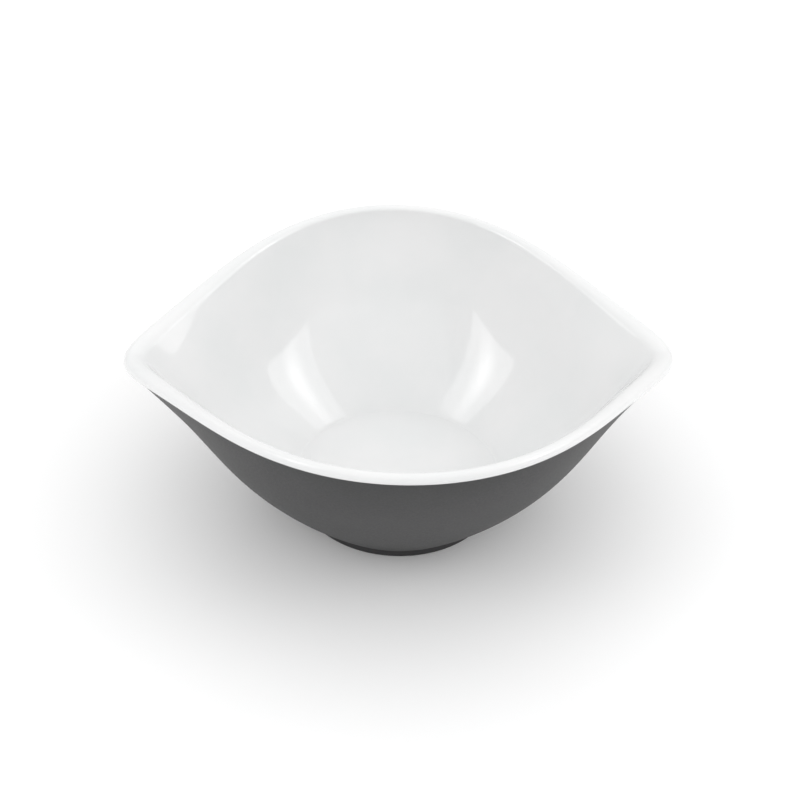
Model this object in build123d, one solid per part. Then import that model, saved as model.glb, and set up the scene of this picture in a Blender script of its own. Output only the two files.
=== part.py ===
from build123d import *
from math import atan2, cos, hypot, pi, radians, sin
import os

# Leaf-shaped serving bowl in two moulded layers: a white inner shell that wraps over the rim,
# and a charcoal outer shell that carries the foot ring.
# +Z is up, +X points along the two pouring tips, and the origin is the centre of the foot's
# underside, so the bowl stands on z = 0.

# Driving dimensions, in millimetres and degrees
length = 240.0              # tip to tip over the rim
width = 211.0               # across the two long sides over the rim
side_height = 95.2          # top of the rim in the middle of each long side
tip_height = 79.0           # top of the rim at each tip
rim_thickness = 4.6         # diameter of the rolled rim along the long sides
tip_thickness = 6.0         # the rim swells to this at the two tips
tip_shoulder = 8.0          # radius of the soft shoulder inside the rim at the tips

tip_pinch = 14.2            # how far the plan narrows towards its two tips
tip_rounding = 1.7          # how blunt the two points are

floor_diameter = 93.0       # flat round floor inside
floor_height = 11.6         # its height above the table
floor_corner = 1.5          # radius where the floor turns up into the wall

foot_crease_diameter = 92.4 # foot ring where it leaves the wall
foot_crease_height = 4.0
foot_diameter = 91.4        # the same ring at its bottom edge
foot_rounding = 1.0         # both bottom edges of the ring
foot_ring_width = 4.4
recess_height = 2.8         # base inside the ring, above the table
recess_corner = 1.2         # radius where the hollow turns into the ring

# Wall of the bowl, on the long sides and at the tips
side_start_angle = 44.5     # slope above horizontal where the wall leaves the base
tip_start_angle = 33.5
side_end_angle = 79.0       # slope where the wall meets the rim: steep sides, flared tips
tip_end_angle = 54.0
side_start_reach = 36.0     # how long the wall keeps its starting slope
tip_start_reach = 54.0
side_end_reach = 20.0       # how long it holds its slope below the rim
tip_end_reach = 48.0

colour_line_turn = 36.0     # the white rim rolls this far below the wall's outer face
layer_split_turn = 84.0     # where the face between the two layers meets the rim
split_base_diameter = 93.0  # lowest round edge of the face between the layers
split_base_height = 7.6

# Fineness of the surfaces
around = 72                 # points on each level line, all the way round
wall_lines = 9              # level lines from the base up to the rim
shoulder_lines = 5          # level lines over the shoulder inside the rim
roll_lines = 6              # level lines over the rest of the rolled rim
lip_lines = 4               # level lines along the outer shell's top edge
corner_lines = 4            # level lines round each small corner

half_length = (length - tip_thickness) / 2
half_width = (width - rim_thickness) / 2


def between(side, tip, a):
    # A measure that changes smoothly from its value on the long sides to its value at the tips
    share = cos(a) ** 2
    return side * (1 - share) + tip * share


def rim_radius(a):
    # The rim swells only close to the tips
    return rim_thickness / 2 + (tip_thickness - rim_thickness) / 2 * cos(a) ** 8


def shoulder_radius(a):
    return between(rim_thickness / 2, tip_shoulder, a)


def rim_point(a):
    # Centre of the rolled rim: an oval pinched to two rounded points, and dipping at both
    x = half_length * cos(a) + tip_rounding * (cos(5 * a) - cos(3 * a))
    y = (half_width - tip_pinch) * sin(a) - tip_pinch * sin(3 * a)
    z = between(side_height, tip_height, a) - rim_radius(a)
    return x, y, z


def rim_outward(a):
    # Horizontal direction square to the rim, away from the bowl
    dx = -half_length * sin(a) + tip_rounding * (3 * sin(3 * a) - 5 * sin(5 * a))
    dy = (half_width - tip_pinch) * cos(a) - 3 * tip_pinch * cos(3 * a)
    size = hypot(dx, dy)
    return dy / size, -dx / size


def start_slope(a):
    return radians(between(side_start_angle, tip_start_angle, a))


def end_slope(a):
    return radians(between(side_end_angle, tip_end_angle, a))


def inner_turn(a):
    # The inner face of the wall runs off the rolled rim here
    return end_slope(a) + pi / 2


def colour_turn(a):
    # White stops and charcoal begins here, under the rolled rim
    return end_slope(a) - pi / 2 - radians(colour_line_turn)


def split_turn(a):
    # The face between the two layers meets the rolled rim here
    return end_slope(a) - pi / 2 - radians(layer_split_turn)


def top_turn(a):
    return pi / 2


def rolled_point(a, turn, radius=rim_radius):
    # Point on the rolled rim, turned upwards from the horizontal outward direction. A larger radius
    # leaves the top of the rim where it is.
    x, y, z = rim_point(a)
    out_x, out_y = rim_outward(a)
    reach = radius(a) * cos(turn)
    height = z + rim_radius(a) - radius(a) * (1 - sin(turn))
    return x + reach * out_x, y + reach * out_y, height


def bezier(p0, p1, p2, p3, t):
    s = 1 - t
    weights = (s**3, 3 * s * s * t, 3 * s * t * t, t**3)
    return tuple(sum(w * p[i] for w, p in zip(weights, (p0, p1, p2, p3))) for i in range(2))


def inner_edge(a):
    # Top edge of the wall's inner face
    return rolled_point(a, inner_turn(a), shoulder_radius)


def colour_edge(a):
    return rolled_point(a, colour_turn(a))


def split_edge(a):
    return rolled_point(a, split_turn(a))


def ring_point(a, edge, radius, height):
    # Each section of the bowl keeps the bearing of its wall's top edge
    x, y, z = edge(a)
    direction = atan2(y, x)
    return radius * cos(direction), radius * sin(direction), height


def end_handle(a, edge):
    # Run of the wall just below the rim, as a level part towards the axis and a drop. It is
    # tangent to the rolled rim although it lies in the upright plane through the bowl's axis.
    step = 0.001
    before, after = edge(a - step), edge(a + step)
    run_x, run_y, run_z = (q - p for p, q in zip(before, after))
    x, y, z = edge(a)
    size = hypot(x, y)
    out_x, out_y = rim_outward(a)
    slope = end_slope(a)
    slide = -cos(slope) * (x * out_y - y * out_x) / (x * run_y - y * run_x)
    level = (cos(slope) * (x * out_x + y * out_y) + slide * (x * run_x + y * run_y)) / size
    reach = between(side_end_reach, tip_end_reach, a)
    return reach * level, reach * (sin(slope) + slide * run_z)


def wall_point(a, t, base, edge):
    # The wall's section climbs from a round base line to the rolled rim
    x, y, z = edge(a)
    rim_reach = hypot(x, y)
    radius, height = base(a)
    start = start_slope(a)
    start_reach = between(side_start_reach, tip_start_reach, a)
    level, drop = end_handle(a, edge)
    across, up = bezier(
        (radius, height),
        (radius + start_reach * cos(start), height + start_reach * sin(start)),
        (rim_reach - level, z - drop),
        (rim_reach, z),
        t,
    )
    return ring_point(a, edge, across, up)


def floor_corner_size(a, t):
    # Small corner between the flat floor and the wall, from the floor up
    turned = start_slope(a) * t
    return floor_diameter / 2 + floor_corner * sin(turned), floor_height + floor_corner * (1 - cos(turned))


def inner_base(a):
    return floor_corner_size(a, 1)


def split_base(a):
    return split_base_diameter / 2, split_base_height


def outer_base(a):
    return foot_crease_diameter / 2, foot_crease_height


def level_line(point_at):
    # One closed smooth line round the bowl
    points = [point_at(2 * pi * i / around) for i in range(around)]
    return Wire([Edge.make_spline(points, periodic=True)])


def skin(point_at, count):
    # Smooth surface through level lines, spaced from t = 0 to t = 1
    steps = [i / (count - 1) for i in range(count)]
    return Shell.make_loft([level_line(lambda a, t=t: point_at(a, t)) for t in steps]).faces()


def wall_skin(base, edge):
    return skin(lambda a, t: wall_point(a, t, base, edge), wall_lines)


def rolled_skin(start, end, count, radius=rim_radius):
    return skin(lambda a, t: rolled_point(a, start(a) * (1 - t) + end(a) * t, radius), count)


def floor_faces():
    def corner(a, t):
        return ring_point(a, inner_edge, *floor_corner_size(a, t))

    return skin(corner, corner_lines) + [Face(level_line(lambda a: corner(a, 0)))]


def foot_line(radius, height):
    return level_line(lambda a: ring_point(a, colour_edge, radius, height))


def foot_strip(start, end):
    # Straight-sided band of the foot ring between two (radius, height) pairs
    return Shell.make_loft([foot_line(*start), foot_line(*end)], ruled=True).faces()


def foot_corner(centre, radius, start, end):
    # Rounded edge of the foot ring, turned in degrees round its centre
    def corner(a, t):
        turned = radians(start * (1 - t) + end * t)
        across = centre[0] + radius * cos(turned)
        return ring_point(a, colour_edge, across, centre[1] + radius * sin(turned))

    return skin(corner, corner_lines)


def foot_faces():
    # Foot ring and the shallow hollow inside it
    outside = foot_diameter / 2
    inside = outside - foot_ring_width
    flat_outside = outside - foot_rounding
    flat_inside = inside + foot_rounding
    hollow = inside - recess_corner
    recess_start = recess_height - recess_corner
    crease = (foot_crease_diameter / 2, foot_crease_height)
    return (
        foot_strip(crease, (outside, foot_rounding))
        + foot_corner((flat_outside, foot_rounding), foot_rounding, 0, -90)
        + [Face(foot_line(flat_outside, 0), [foot_line(flat_inside, 0)])]
        + foot_corner((flat_inside, foot_rounding), foot_rounding, 270, 180)
        + foot_strip((inside, foot_rounding), (inside, recess_start))
        + foot_corner((hollow, recess_start), recess_corner, 0, 90)
        + [Face(foot_line(hollow, recess_height))]
    )


def shared_faces():
    # Where the two layers meet: the ledge under the rolled rim, the wall and the base
    return (
        rolled_skin(colour_turn, split_turn, lip_lines)
        + wall_skin(split_base, split_edge)
        + [Face(level_line(lambda a: ring_point(a, split_edge, *split_base(a))))]
    )


def inner_shell():
    faces = floor_faces() + wall_skin(inner_base, inner_edge)
    faces += rolled_skin(inner_turn, top_turn, shoulder_lines, shoulder_radius)
    faces += rolled_skin(top_turn, colour_turn, roll_lines) + shared_faces()
    return Solid(Shell(faces))


def outer_shell():
    faces = foot_faces() + wall_skin(outer_base, colour_edge) + shared_faces()
    return Solid(Shell(faces))


os.makedirs("parts", exist_ok=True)
for name, piece in {"inner_shell": inner_shell(), "outer_shell": outer_shell()}.items():
    print(name, "valid", piece.is_valid, "volume", round(piece.volume))
    export_step(piece, f"parts/{name}.step")
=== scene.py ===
from math import cos, pi, radians, sin

import bmesh
import bpy
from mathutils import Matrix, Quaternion, Vector


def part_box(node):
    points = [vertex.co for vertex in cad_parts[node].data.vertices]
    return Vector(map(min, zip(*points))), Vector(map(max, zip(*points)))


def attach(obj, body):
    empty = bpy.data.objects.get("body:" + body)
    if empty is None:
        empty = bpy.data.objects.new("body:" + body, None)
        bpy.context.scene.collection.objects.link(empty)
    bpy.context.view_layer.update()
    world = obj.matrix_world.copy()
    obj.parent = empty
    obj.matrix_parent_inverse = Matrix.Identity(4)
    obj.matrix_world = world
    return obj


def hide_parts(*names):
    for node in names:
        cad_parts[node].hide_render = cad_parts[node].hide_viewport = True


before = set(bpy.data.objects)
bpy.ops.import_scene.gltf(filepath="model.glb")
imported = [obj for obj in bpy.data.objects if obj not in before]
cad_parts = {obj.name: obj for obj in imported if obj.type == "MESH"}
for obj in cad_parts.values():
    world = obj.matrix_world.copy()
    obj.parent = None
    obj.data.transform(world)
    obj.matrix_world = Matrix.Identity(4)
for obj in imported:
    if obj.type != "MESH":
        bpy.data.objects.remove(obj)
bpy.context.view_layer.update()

mm = 0.001
up = (0, 0, 1)

innerLow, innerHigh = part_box("inner_shell")


def toLinear(hexColour):
    # "#rrggbb" in sRGB to a linear colour
    levels = [int(hexColour[i:i + 2], 16) / 255 for i in (1, 3, 5)]
    return [v / 12.92 if v <= 0.04045 else ((v + 0.055) / 1.055) ** 2.4 for v in levels] + [1]


def addNode(tree, kind, *values, **settings):
    # One node with its settings. Values fill its inputs in order, or by name from a dictionary.
    # A node or a socket is linked, and None leaves an input as it is.
    node = tree.nodes.new(kind)
    for name, setting in settings.items():
        setattr(node, name, setting)
    shown = [socket for socket in node.inputs if socket.enabled]
    filled = []
    for place, value in enumerate(values):
        if isinstance(value, dict):
            filled += [(node.inputs[name], v) for name, v in value.items()]
        else:
            filled.append((shown[place], value))
    for socket, value in filled:
        if isinstance(value, bpy.types.Node):
            value = next(s for s in value.outputs if s.enabled)
        if isinstance(value, bpy.types.NodeSocket):
            tree.links.new(value, socket)
        elif value is not None:
            socket.default_value = value
    return node


# The rule that both shells follow. A slope is above horizontal, and a reach is how long the wall
# holds its slope. Each has one value on the long sides and one at the tips.
sideRimRadius = 2.3 * mm
tipRimRadius = 3 * mm       # the rim swells close to the tips
swellPower = 4.0            # how close to the tips that swelling keeps
tipPinch = 14.2 * mm        # narrows the plan towards its two tips
tipRounding = 1.7 * mm      # blunts the two points
bowlShape = {
    "Length Waves": ((innerHigh.x - innerLow.x) / 2 - tipRimRadius, -tipRounding, tipRounding),
    "Width Waves": ((innerHigh.y - innerLow.y) / 2 - sideRimRadius - tipPinch, -tipPinch, 0),
    "Side Height": innerHigh.z,
    "Tip Height": 79 * mm,
    "Side Rim Radius": sideRimRadius,
    "Tip Rim Radius": tipRimRadius,
    "Side Shoulder Radius": sideRimRadius,
    "Tip Shoulder Radius": 8 * mm,      # soft shoulder inside the rim at the tips
    "Side Start Slope": radians(44.5),
    "Tip Start Slope": radians(33.5),
    "Side End Slope": radians(79),
    "Tip End Slope": radians(54),
    "Side Start Reach": 36 * mm,
    "Tip Start Reach": 54 * mm,
    "Side End Reach": 20 * mm,
    "Tip End Reach": 48 * mm,
    "Colour Line Turn": radians(36),    # the white rim rolls this far under the wall's outer face
    "Ledge Turn": radians(48),          # the outer shell's top edge, tucked in under the rim
    "Split Radius": 46.5 * mm,          # lowest edge of that hidden face
    "Split Height": 7.6 * mm,
}

sewingGap = 0.01 * mm       # strips closer than this are joined
creaseAngle = radians(25)   # edges bent by more stay sharp

# Faces round the bowl, and along each part of its section
fineness = {"around": 480, "wall": 72, "hidden": 12, "shoulder": 16, "roll": 20, "corner": 6, "flat": 6}


def newTree(name, inputs, outputs):
    # Empty node group with named sockets; returns it and the sockets that it is given
    tree = bpy.data.node_groups.new(name, "GeometryNodeTree")
    for direction, sockets in (("INPUT", inputs), ("OUTPUT", outputs)):
        for label, kind in sockets.items():
            tree.interface.new_socket(label, in_out=direction, socket_type="NodeSocket" + kind)
    return tree, addNode(tree, "NodeGroupInput").outputs


def socketKinds(sizes):
    return {label: "Vector" if isinstance(value, tuple) else "Float" for label, value in sizes.items()}


def makeRimFrame():
    # Middle line of the rolled rim at an angle: an oval with two blunt points that dips at both.
    # Waves of one, three and five times the angle add up to its plan.
    tree, given = newTree(
        "Rim Frame",
        {"Angle": "Float", **socketKinds(bowlShape)},
        {"Point": "Vector", "Run": "Vector", "Outward": "Vector", "Rim Radius": "Float",
         "Shoulder Centre": "Vector", "Shoulder Radius": "Float", "Start Slope": "Float",
         "End Slope": "Float", "Start Reach": "Float", "End Reach": "Float"},
    )
    waves = (1, 3, 5)
    angles = addNode(tree, "ShaderNodeVectorMath", waves, {"Scale": given["Angle"]}, operation="SCALE")
    cosines = addNode(tree, "ShaderNodeVectorMath", angles, operation="COSINE")
    sines = addNode(tree, "ShaderNodeVectorMath", angles, operation="SINE")
    doubled = addNode(tree, "ShaderNodeMath", given["Angle"], 2.0, operation="MULTIPLY")
    tipwards = addNode(tree, "ShaderNodeMath", doubled, operation="COSINE")
    tipShare = addNode(tree, "ShaderNodeMapRange", tipwards, -1.0, 1.0, 0.0, 1.0)

    x = addNode(tree, "ShaderNodeVectorMath", cosines, given["Length Waves"], operation="DOT_PRODUCT")
    y = addNode(tree, "ShaderNodeVectorMath", sines, given["Width Waves"], operation="DOT_PRODUCT")
    top = addNode(tree, "ShaderNodeMix", tipShare, given["Side Height"], given["Tip Height"])
    swell = addNode(tree, "ShaderNodeMath", tipShare, swellPower, operation="POWER")
    radius = addNode(tree, "ShaderNodeMix", swell, given["Side Rim Radius"], given["Tip Rim Radius"])
    z = addNode(tree, "ShaderNodeMath", top, radius, operation="SUBTRACT")
    point = addNode(tree, "ShaderNodeCombineXYZ", x, y, z)

    falling = tuple(-wave for wave in waves)
    lengthRun = addNode(tree, "ShaderNodeVectorMath", given["Length Waves"], falling, operation="MULTIPLY")
    widthRun = addNode(tree, "ShaderNodeVectorMath", given["Width Waves"], waves, operation="MULTIPLY")
    swing = addNode(tree, "ShaderNodeMath", given["Side Height"], given["Tip Height"], operation="SUBTRACT")
    sidewards = addNode(tree, "ShaderNodeMath", doubled, operation="SINE")
    runX = addNode(tree, "ShaderNodeVectorMath", sines, lengthRun, operation="DOT_PRODUCT")
    runY = addNode(tree, "ShaderNodeVectorMath", cosines, widthRun, operation="DOT_PRODUCT")
    runZ = addNode(tree, "ShaderNodeMath", swing, sidewards, operation="MULTIPLY")
    run = addNode(tree, "ShaderNodeCombineXYZ", runX, runY, runZ)
    across = addNode(tree, "ShaderNodeVectorMath", run, up, operation="CROSS_PRODUCT")
    outward = addNode(tree, "ShaderNodeVectorMath", across, operation="NORMALIZE")

    blends = {
        measure: addNode(tree, "ShaderNodeMix", tipShare, given["Side " + measure], given["Tip " + measure])
        for measure in ("Shoulder Radius", "Start Slope", "End Slope", "Start Reach", "End Reach")
    }
    # The shoulder's arc and the rim's arc meet at the rim's top
    shoulderZ = addNode(tree, "ShaderNodeMath", top, blends["Shoulder Radius"], operation="SUBTRACT")
    centre = addNode(tree, "ShaderNodeCombineXYZ", x, y, shoulderZ)
    results = {
        "Point": point, "Run": run, "Outward": outward, "Rim Radius": radius, "Shoulder Centre": centre,
        **blends,
    }
    addNode(tree, "NodeGroupOutput", results)
    return tree


def makeArcPoint():
    # Point on an upright arc, whose turn runs from start to end and is counted upwards from outward
    tree, given = newTree(
        "Arc Point",
        {"Share": "Float", "Centre": "Vector", "Outward": "Vector", "Radius": "Float",
         "Start Turn": "Float", "End Turn": "Float"},
        {"Point": "Vector"},
    )
    hinge = addNode(tree, "ShaderNodeVectorMath", given["Outward"], up, operation="CROSS_PRODUCT")
    turn = addNode(tree, "ShaderNodeMix", given["Share"], given["Start Turn"], given["End Turn"])
    spoke = addNode(tree, "ShaderNodeVectorRotate", given["Outward"], None, hinge, turn)
    reach = addNode(tree, "ShaderNodeVectorMath", spoke, {"Scale": given["Radius"]}, operation="SCALE")
    point = addNode(tree, "ShaderNodeVectorMath", given["Centre"], reach, operation="ADD")
    addNode(tree, "NodeGroupOutput", {"Point": point})
    return tree


def makeWallPoint():
    # The wall climbs from its base to the rolled rim in the upright plane through the bowl's axis.
    # Its last handle is tangent to the rim's tube, which crosses that plane at a slant.
    tree, given = newTree(
        "Wall Point",
        {"Share": "Float", "Base": "Vector", "Edge": "Vector", "Bearing": "Vector", "Run": "Vector",
         "Outward": "Vector", "Start Slope": "Float", "End Slope": "Float", "Start Reach": "Float",
         "End Reach": "Float"},
        {"Point": "Vector"},
    )
    hinge = addNode(tree, "ShaderNodeVectorMath", given["Bearing"], up, operation="CROSS_PRODUCT")
    rising = addNode(tree, "ShaderNodeVectorRotate", given["Bearing"], None, hinge, given["Start Slope"])
    first = addNode(tree, "ShaderNodeVectorMath", rising, {"Scale": given["Start Reach"]}, operation="SCALE")
    lower = addNode(tree, "ShaderNodeVectorMath", given["Base"], first, operation="ADD")

    rimHinge = addNode(tree, "ShaderNodeVectorMath", given["Outward"], up, operation="CROSS_PRODUCT")
    square = addNode(tree, "ShaderNodeVectorRotate", given["Outward"], None, rimHinge, given["End Slope"])
    squareOff = addNode(tree, "ShaderNodeVectorMath", square, hinge, operation="DOT_PRODUCT")
    runOff = addNode(tree, "ShaderNodeVectorMath", given["Run"], hinge, operation="DOT_PRODUCT")
    slide = addNode(tree, "ShaderNodeMath", squareOff, runOff, operation="DIVIDE")
    slid = addNode(tree, "ShaderNodeVectorMath", given["Run"], {"Scale": slide}, operation="SCALE")
    tangent = addNode(tree, "ShaderNodeVectorMath", square, slid, operation="SUBTRACT")
    last = addNode(tree, "ShaderNodeVectorMath", tangent, {"Scale": given["End Reach"]}, operation="SCALE")
    upper = addNode(tree, "ShaderNodeVectorMath", given["Edge"], last, operation="SUBTRACT")

    # Cubic curve by repeated blending
    points = [given["Base"], lower, upper, given["Edge"]]
    while len(points) > 1:
        points = [
            addNode(tree, "ShaderNodeMix", given["Share"], before, after, data_type="VECTOR")
            for before, after in zip(points, points[1:])
        ]
    addNode(tree, "NodeGroupOutput", {"Point": points[0]})
    return tree


rimFrame = makeRimFrame()
arcPoint = makeArcPoint()
wallPoint = makeWallPoint()


class ShellTree:
    # Geometry Nodes tree of one shell, sewn from strips of skin. On each strip, x of a flat grid is
    # the angle round the bowl, and y is the share along that part of the section.

    def __init__(self, name, sizes):
        self.strips = []
        kinds = {**socketKinds(bowlShape), **socketKinds(sizes), "Finish": "Material"}
        self.tree, self.given = newTree(name, kinds, {"Shell": "Geometry"})
        place = self.add("ShaderNodeSeparateXYZ", self.add("GeometryNodeInputPosition"))
        self.share = self.add("ShaderNodeMath", place.outputs["Y"], 0.5, operation="ADD")
        shape = {label: self.given[label] for label in bowlShape}
        self.rim = self.add(
            "GeometryNodeGroup", {"Angle": place.outputs["X"], **shape}, node_tree=rimFrame
        ).outputs

    def add(self, kind, *values, **settings):
        return addNode(self.tree, kind, *values, **settings)

    def line(self, start, end):
        # Straight stretch of the section
        return self.add("ShaderNodeMix", self.share, start, end, data_type="VECTOR")

    def arc(self, centre, outward, radius, start, end):
        # Round stretch of the section, by its turns above outward
        sockets = {
            "Share": self.share, "Centre": centre, "Outward": outward, "Radius": radius,
            "Start Turn": start, "End Turn": end,
        }
        return self.add("GeometryNodeGroup", sockets, node_tree=arcPoint)

    def wall(self, base, edge, bearing):
        # Stretch from a round base up to the rim
        names = ("Run", "Outward", "Start Slope", "End Slope", "Start Reach", "End Reach")
        sockets = {"Share": self.share, "Base": base, "Edge": edge, "Bearing": bearing}
        sockets.update({name: self.rim[name] for name in names})
        return self.add("GeometryNodeGroup", sockets, node_tree=wallPoint)

    def rolled(self, start, end):
        rim = self.rim
        return self.arc(rim["Point"], rim["Outward"], rim["Rim Radius"], start, end)

    def shoulder(self, start, end):
        rim = self.rim
        return self.arc(rim["Shoulder Centre"], rim["Outward"], rim["Shoulder Radius"], start, end)

    def rimTurn(self, turn):
        # Turn on the rolled rim, counted from square above the slope of the wall below it
        return self.add("ShaderNodeMath", self.rim["End Slope"], turn, operation="ADD")

    def bearing(self, edge):
        # Level direction from the bowl's axis to the wall's top edge
        level = self.add("ShaderNodeVectorMath", edge, (1, 1, 0), operation="MULTIPLY")
        return self.add("ShaderNodeVectorMath", level, operation="NORMALIZE")

    def ring(self, bearing, radius, height):
        # Point on a level circle round the bowl's axis
        reach = self.add("ShaderNodeVectorMath", bearing, {"Scale": radius}, operation="SCALE")
        rise = self.add("ShaderNodeCombineXYZ", {"Z": height})
        return self.add("ShaderNodeVectorMath", reach, rise, operation="ADD")

    def strip(self, faces, point):
        grid = self.add("GeometryNodeMeshGrid", 2 * pi, 1.0, fineness["around"] + 1, faces + 1)
        self.strips.append(self.add("GeometryNodeSetPosition", grid, {"Position": point}))

    def sharedStrips(self, colourTurn):
        # The hidden face where both shells meet: a ledge under the rim, a wall and a round base
        given = self.given
        splitTurn = self.add("ShaderNodeMath", colourTurn, given["Ledge Turn"], operation="SUBTRACT")
        edge = self.rolled(splitTurn, splitTurn)
        bearing = self.bearing(edge)
        base = self.ring(bearing, given["Split Radius"], given["Split Height"])
        centre = self.ring(bearing, 0.0, given["Split Height"])
        self.strip(fineness["corner"], self.rolled(colourTurn, splitTurn))
        self.strip(fineness["hidden"], self.wall(base, edge, bearing))
        self.strip(fineness["flat"], self.line(centre, base))

    def sew(self):
        # One closed skin in its finish, smooth but for its creases
        joined = self.add("GeometryNodeJoinGeometry")
        for strip in self.strips:
            self.tree.links.new(strip.outputs[0], joined.inputs[0])
        sewn = self.add("GeometryNodeMergeByDistance", joined, {"Distance": sewingGap})
        smooth = self.add("GeometryNodeSetShadeSmooth", sewn)
        angle = self.add("GeometryNodeInputMeshEdgeAngle")
        creased = self.add("FunctionNodeCompare", angle, creaseAngle, operation="GREATER_THAN")
        sharp = self.add("GeometryNodeSetShadeSmooth", smooth, creased, False, domain="EDGE")
        whole = self.add("GeometryNodeRealizeInstances", sharp)
        finished = self.add("GeometryNodeSetMaterial", whole, {"Material": self.given["Finish"]})
        self.add("NodeGroupOutput", {"Shell": finished})


def makePiece(name, shell, values, node):
    # Runs a shell's tree with its values and keeps the result as a plain mesh that replaces a node
    holder = bpy.data.objects.new(name, bpy.data.meshes.new(name))
    bpy.context.collection.objects.link(holder)
    modifier = holder.modifiers.new("Skin", "NODES")
    modifier.node_group = shell.tree
    for item in shell.tree.interface.items_tree:
        if item.in_out == "INPUT":
            modifier[item.identifier] = values[item.name]
    evaluated = holder.evaluated_get(bpy.context.evaluated_depsgraph_get())
    mesh = bpy.data.meshes.new_from_object(evaluated)
    holder.modifiers.remove(modifier)
    work = bmesh.new()
    work.from_mesh(mesh)
    bmesh.ops.recalc_face_normals(work, faces=work.faces)
    openEdges = sum(not edge.is_manifold for edge in work.edges)
    work.to_mesh(mesh)
    work.free()
    mesh.name = name
    holder.data = mesh
    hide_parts(node)
    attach(holder, "root")
    print(name, len(mesh.polygons), "faces,", openEdges, "open edges")


# Glossy white moulded melamine. The polished mould leaves mirror-like gloss with a faint ripple,
# and the filler in the resin gives very slight clouds of tone.
whiteMelamine = {
    "pale": "#e5e5e5",
    "deep": "#e1e2e2",
    "cloudSize": 35 * mm,
    "roughness": (0.05, 0.09),
    "rippleSize": 9 * mm,
    "rippleDepth": 0.004 * mm,
    "ior": 1.58,
}


def makeWhiteMelamine(look):
    material = bpy.data.materials.new("white melamine, polished moulding")
    material.use_nodes = True
    tree = material.node_tree
    tree.nodes.clear()
    place = addNode(tree, "ShaderNodeTexCoord").outputs["Object"]
    clouds = addNode(
        tree, "ShaderNodeTexNoise", {"Vector": place, "Scale": 1 / look["cloudSize"], "Detail": 3.0}
    )
    tone = addNode(tree, "ShaderNodeMapRange", clouds, 0.35, 0.65, 0.0, 1.0)
    colour = addNode(
        tree, "ShaderNodeMix", tone, toLinear(look["pale"]), toLinear(look["deep"]), data_type="RGBA"
    )
    low, high = look["roughness"]
    roughness = addNode(tree, "ShaderNodeMapRange", clouds, 0.3, 0.7, low, high)
    ripple = addNode(
        tree, "ShaderNodeTexNoise", {"Vector": place, "Scale": 1 / look["rippleSize"], "Detail": 1.0}
    )
    bump = addNode(
        tree, "ShaderNodeBump", {"Height": ripple, "Distance": look["rippleDepth"], "Strength": 1.0}
    )
    surface = addNode(
        tree, "ShaderNodeBsdfPrincipled",
        {"Base Color": colour, "Roughness": roughness, "IOR": look["ior"], "Normal": bump},
    )
    addNode(tree, "ShaderNodeOutputMaterial", surface)
    return material


# Satin charcoal moulded melamine. The mould is finely blasted, so its gloss is broad and soft, and
# the pressed powder leaves a fine grain. The foot's bottom edge is painted paler: a painted highlight.
charcoalMelamine = {
    "pale": "#29292a",
    # paler colour of the painted highlight along the foot's bottom edge
    "deep": "#232324",
    "footHighlight": "#3c3c3d",
    "footHighlightHeight": (0.1 * mm, 0.7 * mm),   # painted highlight in full below the first height, none above the other
    "cloudSize": 22 * mm,
    "grainSize": 0.9 * mm,       # the real grain is about 0.2 mm, too fine to show
    "grainDepth": 0.012 * mm,
    "roughness": (0.5, 0.57),
    "ior": 1.58,
}


def makeCharcoalMelamine(look):
    material = bpy.data.materials.new("charcoal melamine, satin moulding")
    material.use_nodes = True
    tree = material.node_tree
    tree.nodes.clear()
    place = addNode(tree, "ShaderNodeTexCoord").outputs["Object"]
    clouds = addNode(
        tree, "ShaderNodeTexNoise", {"Vector": place, "Scale": 1 / look["cloudSize"], "Detail": 4.0}
    )
    tone = addNode(tree, "ShaderNodeMapRange", clouds, 0.3, 0.7, 0.0, 1.0)
    colour = addNode(
        tree, "ShaderNodeMix", tone, toLinear(look["pale"]), toLinear(look["deep"]), data_type="RGBA"
    )
    grain = addNode(
        tree, "ShaderNodeTexNoise", {"Vector": place, "Scale": 1 / look["grainSize"], "Detail": 2.0}
    )
    height = addNode(tree, "ShaderNodeSeparateXYZ", place).outputs["Z"]
    # painted highlight: the lowest 0.7 mm of the foot is painted paler, broken up by the grain
    low = addNode(tree, "ShaderNodeMapRange", height, *look["footHighlightHeight"], 1.0, 0.0)
    paintedHighlight = addNode(tree, "ShaderNodeMath", low, grain, operation="MULTIPLY")
    finish = addNode(tree, "ShaderNodeMix", paintedHighlight, colour, toLinear(look["footHighlight"]), data_type="RGBA")
    smooth, rough = look["roughness"]
    roughness = addNode(tree, "ShaderNodeMapRange", grain, 0.3, 0.7, smooth, rough)
    bump = addNode(
        tree, "ShaderNodeBump", {"Height": grain, "Distance": look["grainDepth"], "Strength": 1.0}
    )
    surface = addNode(
        tree, "ShaderNodeBsdfPrincipled",
        {"Base Color": finish, "Roughness": roughness, "IOR": look["ior"], "Normal": bump},
    )
    addNode(tree, "ShaderNodeOutputMaterial", surface)
    return material


innerShell = {
    "Floor Radius": 46.5 * mm,
    "Floor Height": 11.6 * mm,
    "Floor Corner": 1.5 * mm,     # radius where the flat floor turns up into the wall
}


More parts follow.
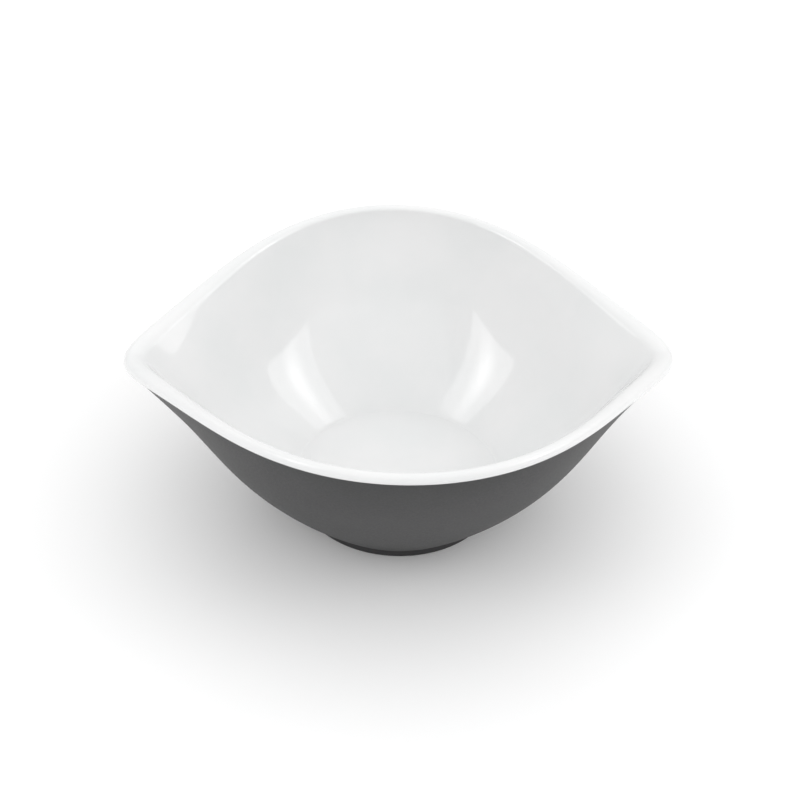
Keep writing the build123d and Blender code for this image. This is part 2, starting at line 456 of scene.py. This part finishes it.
def makeInnerShell():
    # Floor, its small corner, the inner wall, and the white rim rolled over to the colour line
    shell = ShellTree("Inner Shell", innerShell)
    given = shell.given
    touch = shell.rimTurn(pi / 2)
    below = shell.rimTurn(-pi / 2)
    colourTurn = shell.add("ShaderNodeMath", below, given["Colour Line Turn"], operation="SUBTRACT")
    edge = shell.shoulder(touch, touch)
    bearing = shell.bearing(edge)
    hub = shell.add("ShaderNodeMath", given["Floor Height"], given["Floor Corner"], operation="ADD")
    hinge = shell.ring(bearing, given["Floor Radius"], hub)
    cornerEnd = shell.add("ShaderNodeMath", shell.rim["Start Slope"], pi / 2, operation="SUBTRACT")
    base = shell.arc(hinge, bearing, given["Floor Corner"], cornerEnd, cornerEnd)
    floorEdge = shell.ring(bearing, given["Floor Radius"], given["Floor Height"])
    floorCentre = shell.ring(bearing, 0.0, given["Floor Height"])
    shell.strip(fineness["flat"], shell.line(floorCentre, floorEdge))
    shell.strip(fineness["corner"], shell.arc(hinge, bearing, given["Floor Corner"], -pi / 2, cornerEnd))
    shell.strip(fineness["wall"], shell.wall(base, edge, bearing))
    shell.strip(fineness["shoulder"], shell.shoulder(touch, pi / 2))
    shell.strip(fineness["roll"], shell.rolled(pi / 2, colourTurn))
    shell.sharedStrips(colourTurn)
    shell.sew()
    values = {**bowlShape, **innerShell, "Finish": makeWhiteMelamine(whiteMelamine)}
    makePiece("white_inner_shell", shell, values, "inner_shell")


outerShell = {
    "Crease Radius": 46.2 * mm,   # where the foot ring leaves the wall
    "Crease Height": 4 * mm,
    "Foot Radius": 45.7 * mm,
    "Foot Rounding": 1 * mm,
    "Ring Width": 4.4 * mm,
    "Recess Height": 2.8 * mm,    # base inside the ring, above the table
    "Recess Corner": 1.2 * mm,
}


def makeOuterShell():
    # Recess, foot ring and outer wall, up to the colour line under the rim
    shell = ShellTree("Outer Shell", outerShell)
    given = shell.given
    below = shell.rimTurn(-pi / 2)
    colourTurn = shell.add("ShaderNodeMath", below, given["Colour Line Turn"], operation="SUBTRACT")
    edge = shell.rolled(colourTurn, colourTurn)
    bearing = shell.bearing(edge)
    outside, rounding = given["Foot Radius"], given["Foot Rounding"]
    inside = shell.add("ShaderNodeMath", outside, given["Ring Width"], operation="SUBTRACT")
    flatOutside = shell.add("ShaderNodeMath", outside, rounding, operation="SUBTRACT")
    flatInside = shell.add("ShaderNodeMath", inside, rounding, operation="ADD")
    hollow = shell.add("ShaderNodeMath", inside, given["Recess Corner"], operation="SUBTRACT")
    hollowStart = shell.add(
        "ShaderNodeMath", given["Recess Height"], given["Recess Corner"], operation="SUBTRACT"
    )
    crease = shell.ring(bearing, given["Crease Radius"], given["Crease Height"])
    outerHinge = shell.ring(bearing, flatOutside, rounding)
    innerHinge = shell.ring(bearing, flatInside, rounding)
    hollowHinge = shell.ring(bearing, hollow, hollowStart)
    recessEdge = shell.ring(bearing, hollow, given["Recess Height"])
    recessCentre = shell.ring(bearing, 0.0, given["Recess Height"])

    def turned(hinge, radius, start, end):
        shell.strip(fineness["corner"], shell.arc(hinge, bearing, radius, start, end))

    def straight(faces, start, end):
        shell.strip(faces, shell.line(start, end))

    def ring(radius, height):
        return shell.ring(bearing, radius, height)

    straight(fineness["flat"], recessCentre, recessEdge)
    turned(hollowHinge, given["Recess Corner"], 0.0, pi / 2)
    straight(1, ring(inside, hollowStart), ring(inside, rounding))
    turned(innerHinge, rounding, -pi, -pi / 2)
    straight(1, ring(flatInside, 0.0), ring(flatOutside, 0.0))
    turned(outerHinge, rounding, -pi / 2, 0.0)
    straight(2, ring(outside, rounding), crease)
    shell.strip(fineness["wall"], shell.wall(crease, edge, bearing))
    shell.sharedStrips(colourTurn)
    shell.sew()
    values = {**bowlShape, **outerShell, "Finish": makeCharcoalMelamine(charcoalMelamine)}
    makePiece("charcoal_outer_shell", shell, values, "outer_shell")


makeInnerShell()
makeOuterShell()


# Studio: a wide white table under a bright room, a large soft ceiling light and two softboxes
studio = {
    "floorSize": 6.0,
    "floorColour": "#fafafa",
    "roomColour": "#ffffff",
    "roomStrength": 0.85,
}

bowlMiddle = (0, 0, 45 * mm)    # what the camera and the softboxes point at

ceiling = {
    "place": (0.9, 0, 1.5),
    "size": 4.0,
    "strength": 0.35,
}

# Each softbox glows evenly, and its lamp shows through as a slanting oval
softboxes = {
    "rightSoftbox": {
        "bearing": radians(100),      # from +Y towards +X
        "height": radians(32),
        "distance": 1.3,
        "size": (0.66, 0.6),
        "roll": radians(-20),
        "glow": 2.3,
        "lampGlow": 5.5,
        "lampSize": (0.16, 0.36),
        "lampTurn": radians(-8),
    },
    "leftSoftbox": {
        "bearing": radians(-111),
        "height": radians(37),
        "distance": 1.3,
        "size": (0.62, 0.6),
        "roll": radians(10),
        "glow": 2.3,
        "lampGlow": 5.5,
        "lampSize": (0.16, 0.36),
        "lampTurn": radians(18),
    },
}

camera = {
    "target": bowlMiddle,
    "distance": 600 * mm,
    "bearing": radians(3.5),      # stands this far round towards -X from straight in front
    "height": radians(37),
    "roll": radians(1.67),
    "lens": 59.9,
    "sensor": 36,
    "shift": (0.0007, 0.0176),
}


def polar(bearing, height, distance):
    # Point by its bearing from +Y towards +X, height above horizontal, and distance
    level = distance * cos(height)
    return Vector((level * sin(bearing), level * cos(bearing), distance * sin(height)))


def lookAt(thing, place, target, roll):
    thing.location = place
    aim = (Vector(target) - Vector(place)).to_track_quat("-Z", "Y")
    thing.rotation_mode = "QUATERNION"
    thing.rotation_quaternion = aim @ Quaternion((0, 0, 1), roll)


def makeFloor():
    half = studio["floorSize"] / 2
    mesh = bpy.data.meshes.new("table top")
    corners = [(-half, -half, 0), (half, -half, 0), (half, half, 0), (-half, half, 0)]
    mesh.from_pydata(corners, [], [(0, 1, 2, 3)])
    floor = bpy.data.objects.new("floor", mesh)
    bpy.context.collection.objects.link(floor)
    material = bpy.data.materials.new("matt white table top")
    material.use_nodes = True
    surface = material.node_tree.nodes["Principled BSDF"]
    surface.inputs["Base Color"].default_value = toLinear(studio["floorColour"])
    surface.inputs["Roughness"].default_value = 0.9
    surface.inputs["Specular IOR Level"].default_value = 0.0
    mesh.materials.append(material)


def makeRoom():
    world = bpy.data.worlds.new("bright room")
    bpy.context.scene.world = world
    world.use_nodes = True
    background = world.node_tree.nodes["Background"]
    background.inputs["Color"].default_value = toLinear(studio["roomColour"])
    background.inputs["Strength"].default_value = studio["roomStrength"]


def makeCeiling():
    light = bpy.data.lights.new("ceiling light", "AREA")
    light.size = ceiling["size"]
    light.energy = ceiling["strength"] * pi * ceiling["size"] ** 2
    box = bpy.data.objects.new("ceiling light", light)
    bpy.context.collection.objects.link(box)
    box.location = ceiling["place"]


def makeSoftbox(name, box):
    wide, tall = (size / 2 for size in box["size"])
    mesh = bpy.data.meshes.new(name)
    corners = [(-wide, -tall, 0), (-wide, tall, 0), (wide, tall, 0), (wide, -tall, 0)]
    mesh.from_pydata(corners, [], [(0, 1, 2, 3)])
    panel = bpy.data.objects.new(name, mesh)
    bpy.context.collection.objects.link(panel)
    place = Vector(bowlMiddle) + polar(box["bearing"], box["height"], box["distance"])
    lookAt(panel, place, bowlMiddle, box["roll"])

    material = bpy.data.materials.new(name + " cloth")
    material.use_nodes = True
    tree = material.node_tree
    tree.nodes.clear()
    spot = addNode(tree, "ShaderNodeTexCoord").outputs["Object"]
    slant = addNode(
        tree, "ShaderNodeMapping",
        {"Vector": spot, "Rotation": (0, 0, box["lampTurn"]), "Scale": (*box["lampSize"], 1)},
        vector_type="TEXTURE",
    )
    lamp = addNode(tree, "ShaderNodeTexGradient", slant, gradient_type="SPHERICAL")
    strength = addNode(tree, "ShaderNodeMapRange", lamp, 0.0, 1.0, box["glow"], box["lampGlow"])
    light = addNode(tree, "ShaderNodeEmission", {"Strength": strength})
    addNode(tree, "ShaderNodeOutputMaterial", light)
    mesh.materials.append(material)


def makeCamera():
    data = bpy.data.cameras.new("camera")
    data.lens = camera["lens"]
    data.sensor_width = camera["sensor"]
    data.shift_x, data.shift_y = camera["shift"]
    data.clip_start = 10 * mm
    eye = bpy.data.objects.new("camera", data)
    bpy.context.collection.objects.link(eye)
    place = Vector(camera["target"]) + polar(pi + camera["bearing"], camera["height"], camera["distance"])
    lookAt(eye, place, camera["target"], camera["roll"])
    bpy.context.scene.camera = eye


makeFloor()
makeRoom()
makeCeiling()
for name, box in softboxes.items():
    makeSoftbox(name, box)
makeCamera()
bpy.context.scene.view_settings.view_transform = "Standard"
print("studio and camera ready")
